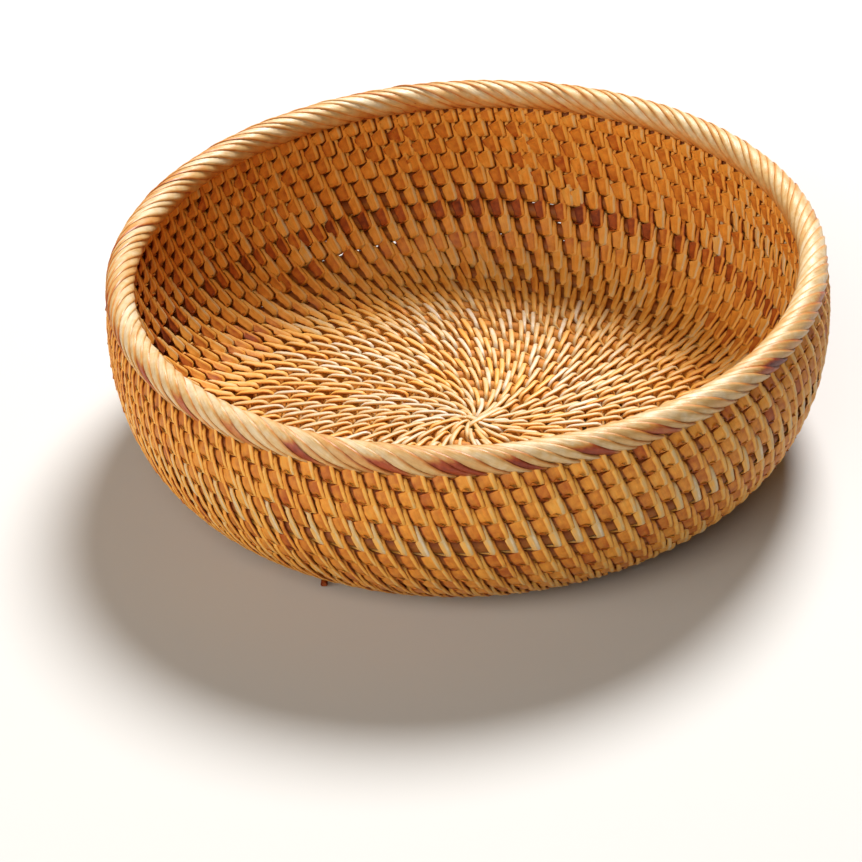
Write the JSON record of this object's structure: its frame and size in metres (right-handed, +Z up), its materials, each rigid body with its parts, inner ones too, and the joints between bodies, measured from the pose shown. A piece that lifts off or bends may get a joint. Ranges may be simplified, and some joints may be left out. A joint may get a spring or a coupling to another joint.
{
  "type": "coiled rattan bowl basket",
  "caption": "Round shallow basket of spirally coiled rattan with a flat base, bulging wall and rope-like bound rim.",
  "frame": {"origin": "middle of the base on the surface that the basket stands on", "axes": "+Z up along the axis of the bowl; the basket is round, so +X and +Y are free, with -Y towards the viewer in the picture"},
  "size_m": [0.2216, 0.2216, 0.0675],
  "materials": {
    "base_coil": "satin, pale cream-gold rattan peel over orange cane",
    "wall_coil": "satin, golden-brown rattan peel",
    "rim_hoop": "matt brown cane",
    "rim_binding": "semi-gloss straw-coloured rattan peel with a few red-brown strands",
    "cut_end": "matt dark brown cut end of rattan"
  },
  "bodies": {
    "root": {"start_knot": "base_coil", "base_coil_turn_01": "base_coil", "base_coil_turn_02": "base_coil", "base_coil_turn_03": "base_coil", "base_coil_turn_04": "base_coil", "base_coil_turn_05": "base_coil", "base_coil_turn_06": "base_coil", "base_coil_turn_07": "base_coil", "base_coil_turn_08": "base_coil", "base_coil_turn_09": "base_coil", "base_coil_turn_10": "base_coil", "base_coil_turn_11": "base_coil", "base_coil_turn_12": "base_coil", "wall_coil_turn_01": "wall_coil", "wall_coil_turn_02": "wall_coil", "wall_coil_turn_03": "wall_coil", "wall_coil_turn_04": "wall_coil", "wall_coil_turn_05": "wall_coil", "wall_coil_turn_06": "wall_coil", "wall_coil_turn_07": "wall_coil", "wall_coil_turn_08": "wall_coil", "wall_coil_turn_09": "wall_coil", "wall_coil_turn_10": "wall_coil", "wall_coil_turn_11": "wall_coil", "wall_coil_turn_12": "wall_coil", "wall_coil_turn_13_tapered": "wall_coil", "rim_core_hoop": "rim_hoop", "rim_binding_strand_1": "rim_binding", "rim_binding_strand_2": "rim_binding", "rim_binding_strand_3": "rim_binding", "rim_binding_strand_4": "rim_binding", "cut_strand_end": "cut_end"}
  },
  "joints": []
}
